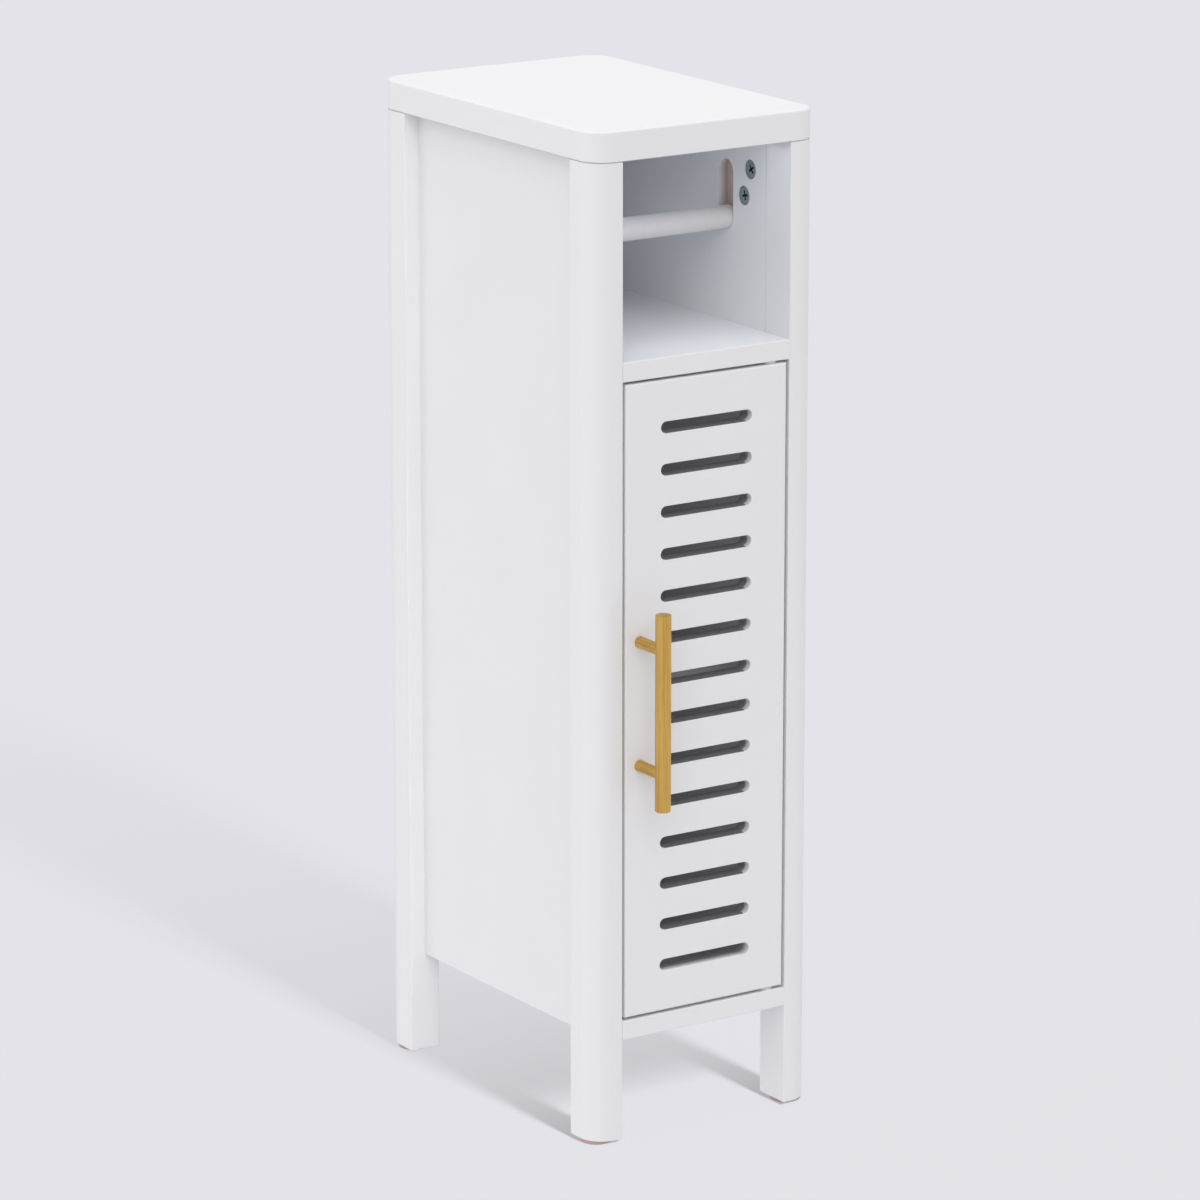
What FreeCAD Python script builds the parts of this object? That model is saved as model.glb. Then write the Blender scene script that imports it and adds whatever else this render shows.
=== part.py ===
import FreeCAD, Part
import math
import os
import re
import Sketcher

# A narrow bathroom cabinet on four legs: an open niche with a loose roll bar under the top,
# and a slotted door on pivot pins in front of the reserve.
# Millimetres, +Z up. The front faces -Y and +X is to the right, seen from the front.
# The origin is on the floor, under the middle of the whole outline, handle included.

sizes = {
    # Whole cabinet
    "overall_height": 780,
    "overall_width": 202,
    "cabinet_depth": 300,
    "corner_radius": 19,
    "fit_gap": 0.2,
    # Boards and legs
    "top_thickness": 23,
    "top_easing": 1.6,
    "board_easing": 0.8,
    "leg_end_easing": 0.6,
    "leg_width": 26,
    "front_leg_depth": 32.5,
    "rear_leg_depth": 37,
    "panel_thickness": 13,
    "panel_bottom": 82,
    "floor_thickness": 15,
    "shelf_thickness": 15,
    "niche_height": 150,
    "back_thickness": 3,
    "back_setback": 10,
    "back_groove_depth": 5,
    "inner_shelf_thickness": 12,
    "inner_shelf_height": 344,
    "inner_shelf_setback": 30,
    "inner_shelf_play": 0.5,
    "shelf_pin_diameter": 5,
    "shelf_pin_bite": 8,
    "shelf_pin_reach": 8,
    "shelf_pin_inset": 40,
    "shelf_pin_gap": 0.05,
    "glide_diameter": 24,
    "glide_thickness": 3,
    "glide_easing": 0.6,
    # Door and its pivots
    "door_thickness": 15,
    "door_gap": 2.5,
    "door_end_gap": 2.2,
    "door_easing": 1.6,
    "slot_length": 82,
    "slot_height": 9,
    "slot_pitch": 32.3,
    "slot_middle_pitch": 30.6,
    "slot_end_margin": 25,
    "slot_easing": 0.4,
    "pivot_inset": 12,
    "pivot_diameter": 5,
    "pivot_bite": 14,
    "pivot_end_room": 0.6,
    "bush_play": 0.05,
    "bush_diameter": 9,
    "bush_depth": 10,
    "bush_flange_diameter": 12,
    # Handle
    "handle_diameter": 12,
    "handle_length": 152,
    "handle_easing": 0.6,
    "handle_reach": 31.5,
    "handle_edge": 12.5,
    "post_diameter": 9,
    "post_spacing": 96,
    "saddle_gap": 0.05,
    "screw_diameter": 4,
    "screw_bite": 10,
    "screw_head_diameter": 8,
    "screw_head_height": 2.5,
    "stud_bar_bite": 5,
    "stud_post_bite": 6,
    # Roll bar and its upright slots
    "bar_diameter": 18,
    "bar_easing": 1,
    "bar_cam_spacing": 23.5,
    "bar_drop": 70,
    "bar_slot_width": 19,
    "bar_slot_depth": 8,
    "bar_slot_rise": 35,
    "bar_end_play": 4,
    "bar_seat_gap": 0.3,
    # Cam fittings and dowels
    "cam_diameter": 14.8,
    "cam_depth": 10,
    "cam_axis_depth": 6.5,
    "cam_reach": 29,
    "cam_cross_span": 7,
    "cam_cross_width": 1.5,
    "cam_cross_depth": 2.4,
    "cam_play": 0.1,
    "cam_top_inset": 21,
    "cam_leg_inset": 50.2,
    "cam_shelf_inset": 60,
    "bolt_shank": 4.6,
    "bolt_head": 6.4,
    "bolt_head_length": 3,
    "bolt_thread": 6,
    "bolt_bite": 9,
    "dowel_diameter": 6,
    "dowel_length": 24,
    "dowel_panel_bite": 8,
    "dowel_top_inset": 75,
    "dowel_low_inset": 25,
    # Magnetic catch
    "catch_width": 46,
    "catch_depth": 12,
    "catch_height": 18,
    "catch_inset": 6,
    "catch_gap": 0.3,
    "magnet_width": 24,
    "magnet_depth": 8,
    "magnet_height": 6,
    "magnet_drop": 10,
    "magnet_recess": 1,
    "pole_thickness": 1.5,
    "catch_screw_spread": 34,
    "catch_screw_diameter": 3,
    "catch_screw_bite": 9,
    "catch_screw_head": 5.6,
    "catch_screw_head_height": 1.6,
    "strike_width": 32,
    "strike_height": 11,
    "strike_thickness": 1.2,
}

# Places and lengths that follow from the sizes
places = {
    "front": "(handle_reach + handle_diameter / 2 - cabinet_depth) / 2",
    "back": "front + cabinet_depth",
    "half_width": "overall_width / 2",
    "inner": "half_width - leg_width",
    "top_under": "overall_height - top_thickness",
    "leg_length": "top_under - glide_thickness",
    "panel_front": "front + front_leg_depth",
    "panel_rear": "back - rear_leg_depth",
    "panel_middle": "inner + panel_thickness / 2",
    "panel_height": "top_under - panel_bottom",
    "floor_top": "panel_bottom + floor_thickness",
    "shelf_height": "top_under - niche_height",
    "shelf_under": "shelf_height - shelf_thickness",
    "back_face": "back - back_setback - back_thickness",
    "board_depth": "back_face - fit_gap - front",
    "door_left": "door_gap - inner",
    "door_width": "2 * inner - 2 * door_gap",
    "door_bottom": "floor_top + door_end_gap",
    "door_top": "shelf_under - door_end_gap",
    "door_height": "door_top - door_bottom",
    "door_middle": "(door_top + door_bottom) / 2",
    "door_back": "front + door_thickness",
    "slot_reach": "slot_length - slot_height",
    "slot_run": "door_height / 2 - slot_middle_pitch / 2 - slot_end_margin",
    "slot_rows": "floor(slot_run / slot_pitch) + 1",
    "pivot_x": "inner - door_gap - pivot_inset",
    "pivot_y": "front + door_thickness / 2",
    "pivot_length": "pivot_bite + door_end_gap + bush_depth - pivot_end_room",
    "flange_thickness": "door_end_gap - fit_gap",
    "handle_x": "door_left + handle_edge",
    "handle_y": "front - handle_reach",
    "cam_front": "panel_front + cam_reach",
    "cam_rear": "panel_rear - cam_reach",
    "bar_y": "cam_front + bar_cam_spacing",
    "bar_z": "top_under - bar_drop",
    "bar_slot_low": "bar_z + (bar_slot_width - bar_diameter) / 2 - bar_seat_gap",
    "bar_length": "2 * inner + 2 * bar_slot_depth - 2 * bar_end_play",
    "bar_left": "bar_end_play - inner - bar_slot_depth",
    "catch_left": "door_left + catch_inset",
    "catch_middle": "catch_left + catch_width / 2",
    "catch_front": "door_back + strike_thickness + catch_gap",
    "catch_bottom": "shelf_under - catch_height",
    "magnet_z": "shelf_under - magnet_drop",
}

doc = FreeCAD.newDocument("RollCabinet")
sheet = doc.addObject("Spreadsheet::Sheet", "Sizes")
for row, (name, number) in enumerate(sizes.items(), start=1):
    sheet.set(f"A{row}", name)
    sheet.set(f"B{row}", str(number))
    sheet.setAlias(f"B{row}", name)
doc.recompute()

vector = FreeCAD.Vector
no_turn = FreeCAD.Rotation()
along_x = FreeCAD.Rotation(vector(0, 1, 0), 90)
along_y = FreeCAD.Rotation(vector(1, 0, 0), -90)
upside_down = FreeCAD.Rotation(vector(1, 0, 0), 180)

# A sketch is drawn at a rough size before its dimensions are set.
rough_size = 10
# An edge counts as upright, or as lying on a side, within these limits.
upright_share = 0.999
side_limit = 1e-4


def formula(text):
    # Every size becomes a cell of the sheet, and every place its own formula in brackets.
    def open_name(match):
        name = match.group(0)
        if name in places:
            return "(" + formula(places[name]) + ")"
        return "Sizes." + name if name in sizes else name
    return re.sub(r"[a-z_]+", open_name, text)


def bind(item, settings):
    for setting, text in settings.items():
        item.setExpression(setting, formula(text))


def put(item, x="0", y="0", z="0", turn=no_turn):
    item.Placement = FreeCAD.Placement(vector(), turn)
    bind(item, {"Placement.Base.x": x, "Placement.Base.y": y, "Placement.Base.z": z})
    return item


def block(width, depth, height, x, y, z):
    item = doc.addObject("Part::Box", "Block")
    bind(item, {"Length": width, "Width": depth, "Height": height})
    return put(item, x, y, z)


def rod(diameter, length, x="0", y="0", z="0", turn=no_turn):
    item = doc.addObject("Part::Cylinder", "Rod")
    bind(item, {"Radius": f"({diameter}) / 2", "Height": length})
    return put(item, x, y, z, turn)


def join(pieces):
    item = doc.addObject("Part::MultiFuse", "Joined")
    item.Shapes = pieces
    return item


def group(pieces, label="group"):
    item = doc.addObject("Part::Compound", "Group")
    item.Links = pieces
    item.Label = label
    return item


def cut(base, tool, label="cut"):
    item = doc.addObject("Part::Cut", "Cut")
    item.Base = base
    item.Tool = tool
    item.Label = label
    return item


def mirror(source, label="mirrored"):
    item = doc.addObject("Part::Mirroring", "Mirrored")
    item.Source = source
    item.Normal = vector(1, 0, 0)
    item.Label = label
    return item


def copy_of(source, x, y, z, turn):
    item = doc.addObject("App::Link", "Copy")
    item.LinkedObject = source
    return put(item, x, y, z, turn)


def origin_part(body, role):
    return next(part for part in body.Origin.OriginFeatures if part.Role == role)


def new_body(label):
    body = doc.addObject("PartDesign::Body", "Body")
    body.Label = label
    return body


def new_sketch(body, role):
    sketch = body.newObject("Sketcher::SketchObject", "Sketch")
    sketch.AttachmentSupport = (origin_part(body, role), [""])
    sketch.MapMode = "FlatFace"
    return sketch


def dimension(sketch, name, text, kind, *refs):
    # The last number is a start value; the formula then sets the real one.
    index = sketch.addConstraint(Sketcher.Constraint(kind, *refs))
    sketch.renameConstraint(index, name)
    bind(sketch, {f"Constraints.{name}": text})


def pad(body, sketch, length):
    feature = body.newObject("PartDesign::Pad", "Pad")
    feature.Profile = sketch
    bind(feature, {"Length": length})
    return feature


def ease(body, feature, radius, wanted, kind="Fillet", setting="Radius"):
    # Rounds or chamfers the edges of the feature that the test picks out.
    doc.recompute()
    names = [f"Edge{number}" for number, edge in enumerate(feature.Shape.Edges, start=1) if wanted(edge)]
    eased = body.newObject(f"PartDesign::{kind}", kind)
    eased.Base = (feature, names)
    bind(eased, {setting: radius})
    return eased


def upright(edge):
    run = edge.Vertexes[-1].Point - edge.Vertexes[0].Point
    return run.Length > 0 and abs(run.z) > upright_share * run.Length


def on_side(edge, axis, value):
    box = edge.BoundBox
    low, high = {"x": (box.XMin, box.XMax), "y": (box.YMin, box.YMax), "z": (box.ZMin, box.ZMax)}[axis]
    return abs(low - value) < side_limit and abs(high - value) < side_limit


def level(edge):
    return edge.BoundBox.ZLength < side_limit


def front_edge(edge):
    return on_side(edge, "y", 0) and not upright(edge)


def board(label, width, depth, height, x, y, z):
    # A plain board: a rectangle drawn from its lower left corner, padded upwards.
    body = new_body(label)
    sketch = new_sketch(body, "XY_Plane")
    corners = [vector(x, y) * rough_size for x, y in ((0, 0), (1, 0), (1, 1), (0, 1))]
    for number in range(4):
        sketch.addGeometry(Part.LineSegment(corners[number], corners[(number + 1) % 4]))
    for number in range(4):
        sketch.addConstraint(Sketcher.Constraint("Coincident", number, 2, (number + 1) % 4, 1))
        sketch.addConstraint(Sketcher.Constraint("Vertical" if number % 2 else "Horizontal", number))
    sketch.addConstraint(Sketcher.Constraint("Coincident", 0, 1, -1, 1))
    dimension(sketch, "Width", width, "DistanceX", 0, 1, 0, 2, rough_size)
    dimension(sketch, "Depth", depth, "DistanceY", 1, 1, 1, 2, rough_size)
    put(body, x, y, z)
    return body, pad(body, sketch, height)


def round_bar(label, role, diameter, length, easing, x, y, z):
    # A turned rod along the sketch plane's normal, with both ends chamfered.
    body = new_body(label)
    sketch = new_sketch(body, role)
    sketch.addGeometry(Part.Circle(vector(), vector(0, 0, 1), rough_size / 2))
    sketch.addConstraint(Sketcher.Constraint("Coincident", 0, 3, -1, 1))
    dimension(sketch, "Diameter", diameter, "Diameter", 0, rough_size)
    put(body, x, y, z)
    feature = pad(body, sketch, length)
    ease(body, feature, easing, lambda edge: len(edge.Vertexes) == 1, "Chamfer", "Size")
    return body


def stadium(body, role, width, reach, across, up, standing):
    # Two half circles and two tangent lines, from the first arc's centre along the slot.
    turn = math.pi / 2 if standing else 0
    along = vector(math.cos(turn), math.sin(turn))
    side = vector(math.sin(turn), -math.cos(turn))
    radius = rough_size / 2
    run = rough_size * 5
    ends = [vector(), along * run]
    sketch = new_sketch(body, role)
    for number, start in enumerate((math.pi / 2, -math.pi / 2)):
        circle = Part.Circle(ends[number], vector(0, 0, 1), radius)
        sketch.addGeometry(Part.ArcOfCircle(circle, start + turn, start + turn + math.pi))
    sketch.addGeometry(Part.LineSegment(ends[0] + side * radius, ends[1] + side * radius))
    sketch.addGeometry(Part.LineSegment(ends[1] - side * radius, ends[0] - side * radius))
    for first, second in ((0, 2), (2, 1), (1, 3), (3, 0)):
        sketch.addConstraint(Sketcher.Constraint("Tangent", first, 2, second, 1))
    sketch.addConstraint(Sketcher.Constraint("Equal", 0, 1))
    sketch.addConstraint(Sketcher.Constraint("Vertical" if standing else "Horizontal", 2))
    dimension(sketch, "Radius", f"{width} / 2", "Radius", 0, radius)
    dimension(sketch, "Reach", reach, "DistanceY" if standing else "DistanceX", 0, 3, 1, 3, run)
    dimension(sketch, "Across", across, "DistanceX", -1, 1, 0, 3, 0)
    dimension(sketch, "Up", up, "DistanceY", -1, 1, 0, 3, 0)
    return sketch


# Cam lock: a disc with a cross recess in its face and a way for the bolt's head into its side.
# Its face lies at z = 0, its axis is Z and the bolt comes in along +X.
cam_cross = [
    block("cam_cross_span", "cam_cross_width", "cam_cross_depth",
          "-cam_cross_span / 2", "-cam_cross_width / 2", "-cam_cross_depth"),
    block("cam_cross_width", "cam_cross_span", "cam_cross_depth",
          "-cam_cross_width / 2", "-cam_cross_span / 2", "-cam_cross_depth"),
]
cam_way = rod("bolt_head + 2 * cam_play", "cam_diameter", x="-cam_play", z="-cam_axis_depth", turn=along_x)
cam_pattern = cut(rod("cam_diameter", "cam_depth", z="-cam_depth"), join([cam_way] + cam_cross))

# Cam bolt: head in the cam, waisted shank, and a threaded end in the next piece.
bolt_pattern = join([
    rod("bolt_head", "bolt_head_length", z="-cam_axis_depth", turn=along_x),
    rod("bolt_shank", "cam_reach", z="-cam_axis_depth", turn=along_x),
    rod("bolt_thread", "bolt_bite", x="cam_reach", z="-cam_axis_depth", turn=along_x),
])

# What is drilled for one fitting: the cam's pocket, the bolt's way and its threaded hole.
bore_pattern = join([
    rod("cam_diameter + 2 * cam_play", "cam_depth + cam_play + board_easing", z="-cam_depth - cam_play"),
    rod("bolt_head + 2 * cam_play", "cam_reach", z="-cam_axis_depth", turn=along_x),
    rod("bolt_thread", "cam_reach + bolt_bite", z="-cam_axis_depth", turn=along_x),
])

# The right-hand fittings: place of the cam's face, its direction and the bolt's direction.
face_in = vector(-1, 0, 0)
face_down = vector(0, 0, -1)
cam_high = "top_under - cam_leg_inset"
cam_low = "panel_bottom + cam_leg_inset"
fittings = [
    ("inner", "panel_front + cam_top_inset", "top_under - cam_reach", face_in, vector(0, 0, 1)),
    ("inner", "panel_rear - cam_top_inset", "top_under - cam_reach", face_in, vector(0, 0, 1)),
    ("inner", "cam_front", cam_high, face_in, vector(0, -1, 0)),
    ("inner", "cam_front", cam_low, face_in, vector(0, -1, 0)),
    ("inner", "cam_rear", cam_high, face_in, vector(0, 1, 0)),
    ("inner", "cam_rear", cam_low, face_in, vector(0, 1, 0)),
]
for underside in ("shelf_under", "panel_bottom"):
    for place in ("front + cam_shelf_inset", "back_face - cam_shelf_inset"):
        fittings.append(("inner - cam_reach", place, underside, face_down, vector(1, 0, 0)))


def fitted(pattern):
    # One copy of the pattern at each right-hand fitting.
    copies = []
    for x, y, z, face, bolt in fittings:
        turn = FreeCAD.Rotation(bolt, face.cross(bolt), face, "ZXY")
        copies.append(copy_of(pattern, x, y, z, turn))
    return group(copies)


right_cams = fitted(cam_pattern)
right_bolts = fitted(bolt_pattern)
right_bores = fitted(bore_pattern)
cam_locks = group([right_cams, mirror(right_cams)], "cam_locks")
cam_bolts = group([right_bolts, mirror(right_bolts)], "cam_bolts")

# Dowels: two from the side panel into each leg, one up into the top, one in each end of the boards.
right_dowels = []
for z in ("top_under - dowel_top_inset", "panel_bottom + dowel_low_inset"):
    for y in ("panel_front - dowel_length / 2", "panel_rear - dowel_length / 2"):
        right_dowels.append(rod("dowel_diameter", "dowel_length", "panel_middle", y, z, along_y))
leg_middle_x = "half_width - leg_width / 2"
for y in ("front + front_leg_depth / 2", "back - rear_leg_depth / 2"):
    right_dowels.append(rod("dowel_diameter", "dowel_length", leg_middle_x, y,
                            "top_under - dowel_length / 2"))
for z in ("shelf_height - shelf_thickness / 2", "floor_top - floor_thickness / 2"):
    right_dowels.append(rod("dowel_diameter", "dowel_length", "inner + dowel_panel_bite - dowel_length",
                            "(front + back_face) / 2", z, along_x))
right_dowels = group(right_dowels)
dowels = group([right_dowels, mirror(right_dowels)], "dowels")

# Shelf pins: two in each side panel, under the loose inner shelf.
pin_z = "inner_shelf_height - inner_shelf_thickness - shelf_pin_diameter / 2 - shelf_pin_gap"
right_pins = group([
    rod("shelf_pin_diameter", "shelf_pin_bite + shelf_pin_reach",
        "inner - shelf_pin_reach", y, pin_z, along_x)
    for y in ("panel_front + shelf_pin_inset", "panel_rear - shelf_pin_inset")
])
shelf_pins = group([right_pins, mirror(right_pins)], "shelf_pins")

right_joinery = group([right_bores, right_dowels])
joinery = group([right_joinery, mirror(right_joinery)])

# Top board: round corners as the legs, eased upper and lower edges.
body, feature = board("top_blank", "overall_width", "cabinet_depth", "top_thickness",
                      "-half_width", "front", "top_under")
feature = ease(body, feature, "corner_radius", upright)
feature = ease(body, feature, "top_easing", lambda edge: on_side(edge, "z", sizes["top_thickness"]))
ease(body, feature, "board_easing", lambda edge: on_side(edge, "z", 0))
top_board = cut(body, joinery, "top_board")


# Legs: the outer upright edge is as round as the top's corner, the others and both ends are eased.
def leg_pair(end, depth, y, outer_y, panel_y, cuts):
    body, feature = board(end + "_leg_blank", "leg_width", depth, "leg_length", "inner", y, "glide_thickness")

    def outer(edge):
        return upright(edge) and on_side(edge, "x", sizes["leg_width"]) and on_side(edge, "y", outer_y)

    def square(edge):
        return upright(edge) and (on_side(edge, "x", 0) or on_side(edge, "y", panel_y))

    feature = ease(body, feature, "corner_radius", outer)
    feature = ease(body, feature, "board_easing", square)
    ease(body, feature, "leg_end_easing", level)
    right = cut(body, group(cuts), end + "_right_leg")
    return [right, mirror(right, end + "_left_leg")]


back_groove = block("back_groove_depth + fit_gap", "back_thickness + 2 * fit_gap", "panel_height",
                    "inner", "back_face - fit_gap", "panel_bottom")
legs = leg_pair("front", "front_leg_depth", "front", 0, sizes["front_leg_depth"], [right_joinery])
legs += leg_pair("rear", "rear_leg_depth", "panel_rear", sizes["rear_leg_depth"], 0,
                 [right_joinery, back_groove])

# Side panels: let in between the legs, flush with them inside, where a fine groove marks the joint.
# A blind slot takes the roll bar.
body, feature = board("panel_blank", "panel_thickness", "panel_rear - panel_front", "panel_height",
                      "inner", "panel_front", "panel_bottom")
ease(body, feature, "board_easing", lambda edge: upright(edge) and on_side(edge, "x", 0))
slot = body.newObject("PartDesign::Pocket", "BarSlot")
slot.Profile = stadium(body, "YZ_Plane", "bar_slot_width", "bar_slot_rise",
                       "bar_y - panel_front", "bar_slot_low - panel_bottom", True)
slot.Reversed = True
bind(slot, {"Length": "bar_slot_depth"})
right_panel = cut(body, group([right_joinery, right_pins]), "right_side_panel")
left_panel = mirror(right_panel, "left_side_panel")


# Shelf and bottom panel: between the sides, front edges flush with the legs and eased.
def cross_board(label, thickness, z):
    body, feature = board(label + "_blank", "2 * inner", "board_depth", thickness, "-inner", "front", z)
    ease(body, feature, "board_easing", front_edge)
    return body


# Pivots: nylon bushes with a flange in the shelf and the bottom panel, steel pins in the door.
bush_blank = join([
    rod("bush_flange_diameter", "flange_thickness", z="-flange_thickness"),
    rod("bush_diameter", "bush_depth"),
])
bush_pattern = cut(bush_blank, rod("pivot_diameter + 2 * bush_play", "bush_depth + flange_thickness",
                                   z="-flange_thickness"))
upper_seat = ("pivot_x", "pivot_y", "shelf_under", no_turn)
lower_seat = ("pivot_x", "pivot_y", "floor_top", upside_down)
upper_bush = group([copy_of(bush_pattern, *upper_seat)], "upper_pivot_bush")
lower_bush = group([copy_of(bush_pattern, *lower_seat)], "lower_pivot_bush")
upper_pin = rod("pivot_diameter", "pivot_length", "pivot_x", "pivot_y", "door_top - pivot_bite")
lower_pin = rod("pivot_diameter", "pivot_length", "pivot_x", "pivot_y", "door_bottom + pivot_bite",
                upside_down)
upper_pin.Label = "upper_pivot_pin"
lower_pin.Label = "lower_pivot_pin"

# Magnetic catch under the shelf, behind the door's handle side, and its strike plate on the door.
magnet = block("magnet_width", "magnet_depth - magnet_recess", "magnet_height",
               "catch_middle - magnet_width / 2", "catch_front + magnet_recess",
               "magnet_z - magnet_height / 2")
magnet.Label = "catch_magnet"
poles = group([
    block("magnet_width", "magnet_depth", "pole_thickness",
          "catch_middle - magnet_width / 2", "catch_front", z)
    for z in ("magnet_z + magnet_height / 2", "magnet_z - magnet_height / 2 - pole_thickness")
], "catch_poles")
catch_recess = block("magnet_width", "magnet_depth", "magnet_height + 2 * pole_thickness",
                     "catch_middle - magnet_width / 2", "catch_front",
                     "magnet_z - magnet_height / 2 - pole_thickness")
catch_screws = []
for side in ("-", "+"):
    spot = (f"catch_middle {side} catch_screw_spread / 2", "catch_front + catch_depth / 2")
    catch_screws.append(join([
        rod("catch_screw_head", "catch_screw_head_height", *spot, "catch_bottom - catch_screw_head_height"),
        rod("catch_screw_diameter", "catch_height + catch_screw_bite", *spot, "catch_bottom"),
    ]))
catch_screws = group(catch_screws, "catch_screws")
body, feature = board("catch_blank", "catch_width", "catch_depth", "catch_height",
                      "catch_left", "catch_front", "catch_bottom")
ease(body, feature, "board_easing", upright)
catch_housing = cut(body, group([catch_recess, catch_screws]), "catch_housing")
strike_screw = join([
    rod("catch_screw_head", "strike_thickness", "catch_middle", "door_back", "magnet_z", along_y),
    rod("catch_screw_diameter", "catch_screw_bite",
        "catch_middle", "door_back - catch_screw_bite", "magnet_z", along_y),
])
strike_screw.Label = "strike_screw"
body, feature = board("strike_blank", "strike_width", "strike_thickness", "strike_height",
                      "catch_middle - strike_width / 2", "door_back", "magnet_z - strike_height / 2")
strike_plate = cut(body, strike_screw, "strike_plate")

shelf = cut(cross_board("dividing_shelf", "shelf_thickness", "shelf_under"),
            group([joinery, copy_of(bush_blank, *upper_seat), catch_screws]), "dividing_shelf")
bottom = cut(cross_board("bottom_panel", "floor_thickness", "panel_bottom"),
             group([joinery, copy_of(bush_blank, *lower_seat)]), "bottom_panel")
inner_shelf, feature = board("inner_shelf", "2 * inner - 2 * inner_shelf_play",
                             "back_face - front - inner_shelf_setback - inner_shelf_play",
                             "inner_shelf_thickness", "inner_shelf_play - inner",
                             "front + inner_shelf_setback", "inner_shelf_height - inner_shelf_thickness")
ease(inner_shelf, feature, "board_easing", front_edge)
back_panel, feature = board("back_panel", "2 * inner + 2 * back_groove_depth", "back_thickness",
                            "panel_height - fit_gap",
                            "-inner - back_groove_depth", "back_face", "panel_bottom")

# Handle: a bar on two posts, screwed on from behind the door, each post studded to the bar.
handle_blank = round_bar("handle_blank", "XY_Plane", "handle_diameter", "handle_length", "handle_easing",
                         "handle_x", "handle_y", "door_middle - handle_length / 2")
saddle = rod("handle_diameter + 2 * saddle_gap", "handle_length",
             "handle_x", "handle_y", "door_middle - handle_length / 2")
posts, screws, studs = [], [], []
for label, side in (("handle_post_upper", "+"), ("handle_post_lower", "-")):
    z = f"door_middle {side} post_spacing / 2"
    screw = join([
        rod("screw_diameter", "door_thickness + screw_bite", "handle_x", "front - screw_bite", z, along_y),
        rod("screw_head_diameter", "screw_head_height", "handle_x", "door_back", z, along_y),
    ])
    stud = rod("screw_diameter", "stud_bar_bite + stud_post_bite", "handle_x",
               "handle_y + handle_diameter / 2 - stud_bar_bite", z, along_y)
    post = rod("post_diameter", "handle_reach", "handle_x", "handle_y", z, along_y)
    posts.append(cut(post, group([saddle, screw, stud]), label))
    screws.append(screw)
    studs.append(stud)
handle_screws = group(screws, "handle_screws")
handle_studs = group(studs, "handle_studs")
handle_bar = cut(handle_blank, handle_studs, "handle_bar")

# Door: eased all round in front, with two rows of slots that run up and down from its middle.
body, feature = board("door_blank", "door_width", "door_thickness", "door_height",
                      "door_left", "front", "door_bottom")
feature = ease(body, feature, "door_easing", lambda edge: on_side(edge, "y", 0) or upright(edge))
for side in ("+", "-"):
    pocket = body.newObject("PartDesign::Pocket", "Slot")
    pocket.Profile = stadium(body, "XZ_Plane", "slot_height", "slot_reach", "(door_width - slot_reach) / 2",
                             f"door_height / 2 {side} slot_middle_pitch / 2", False)
    pocket.Type = "ThroughAll"
    rows = body.newObject("PartDesign::LinearPattern", "SlotRows")
    rows.Originals = [pocket]
    rows.Direction = (origin_part(body, "Z_Axis"), [""])
    rows.Reversed = side == "-"
    bind(rows, {"Length": "slot_pitch * (slot_rows - 1)", "Occurrences": "slot_rows"})
    body.Tip = rows
ease(body, rows, "slot_easing", lambda edge: on_side(edge, "y", 0) and edge.Length < sizes["slot_length"])
door = cut(body, group([upper_pin, lower_pin, handle_screws, strike_screw]), "door")

# Roll bar: a painted dowel that lies at the foot of the two slots.
roll_bar = round_bar("roll_bar", "YZ_Plane", "bar_diameter", "bar_length", "bar_easing",
                     "bar_left", "bar_y", "bar_z")

# Glides: a round pad under the middle of each leg.
glides = []
for end, y in (("front", "front + front_leg_depth / 2"), ("rear", "back - rear_leg_depth / 2")):
    for hand, sign in (("left", "-"), ("right", "")):
        glides.append(round_bar(f"glide_{end}_{hand}", "XY_Plane", "glide_diameter", "glide_thickness",
                                "glide_easing", f"{sign}({leg_middle_x})", y, "0"))

nodes = [
    top_board, *legs, left_panel, right_panel, shelf, bottom, inner_shelf, back_panel, shelf_pins,
    cam_locks, cam_bolts, dowels, *glides, upper_bush, lower_bush,
    catch_housing, magnet, poles, catch_screws,
    door, upper_pin, lower_pin, strike_plate, strike_screw,
    handle_bar, *posts, handle_studs, handle_screws, roll_bar,
]

doc.recompute()
for item in doc.Objects:
    if "Invalid" in item.State or "Error" in item.State:
        raise RuntimeError(f"{item.Label} did not build: {item.State}")
for node in nodes:
    if node.Shape.isNull() or not node.Shape.isValid():
        raise RuntimeError(f"{node.Label} has no valid shape")

os.makedirs("parts", exist_ok=True)
for node in nodes:
    node.Shape.exportStep(f"parts/{node.Label}.step")
    print(node.Label, len(node.Shape.Solids), round(node.Shape.Volume, 1))
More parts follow.
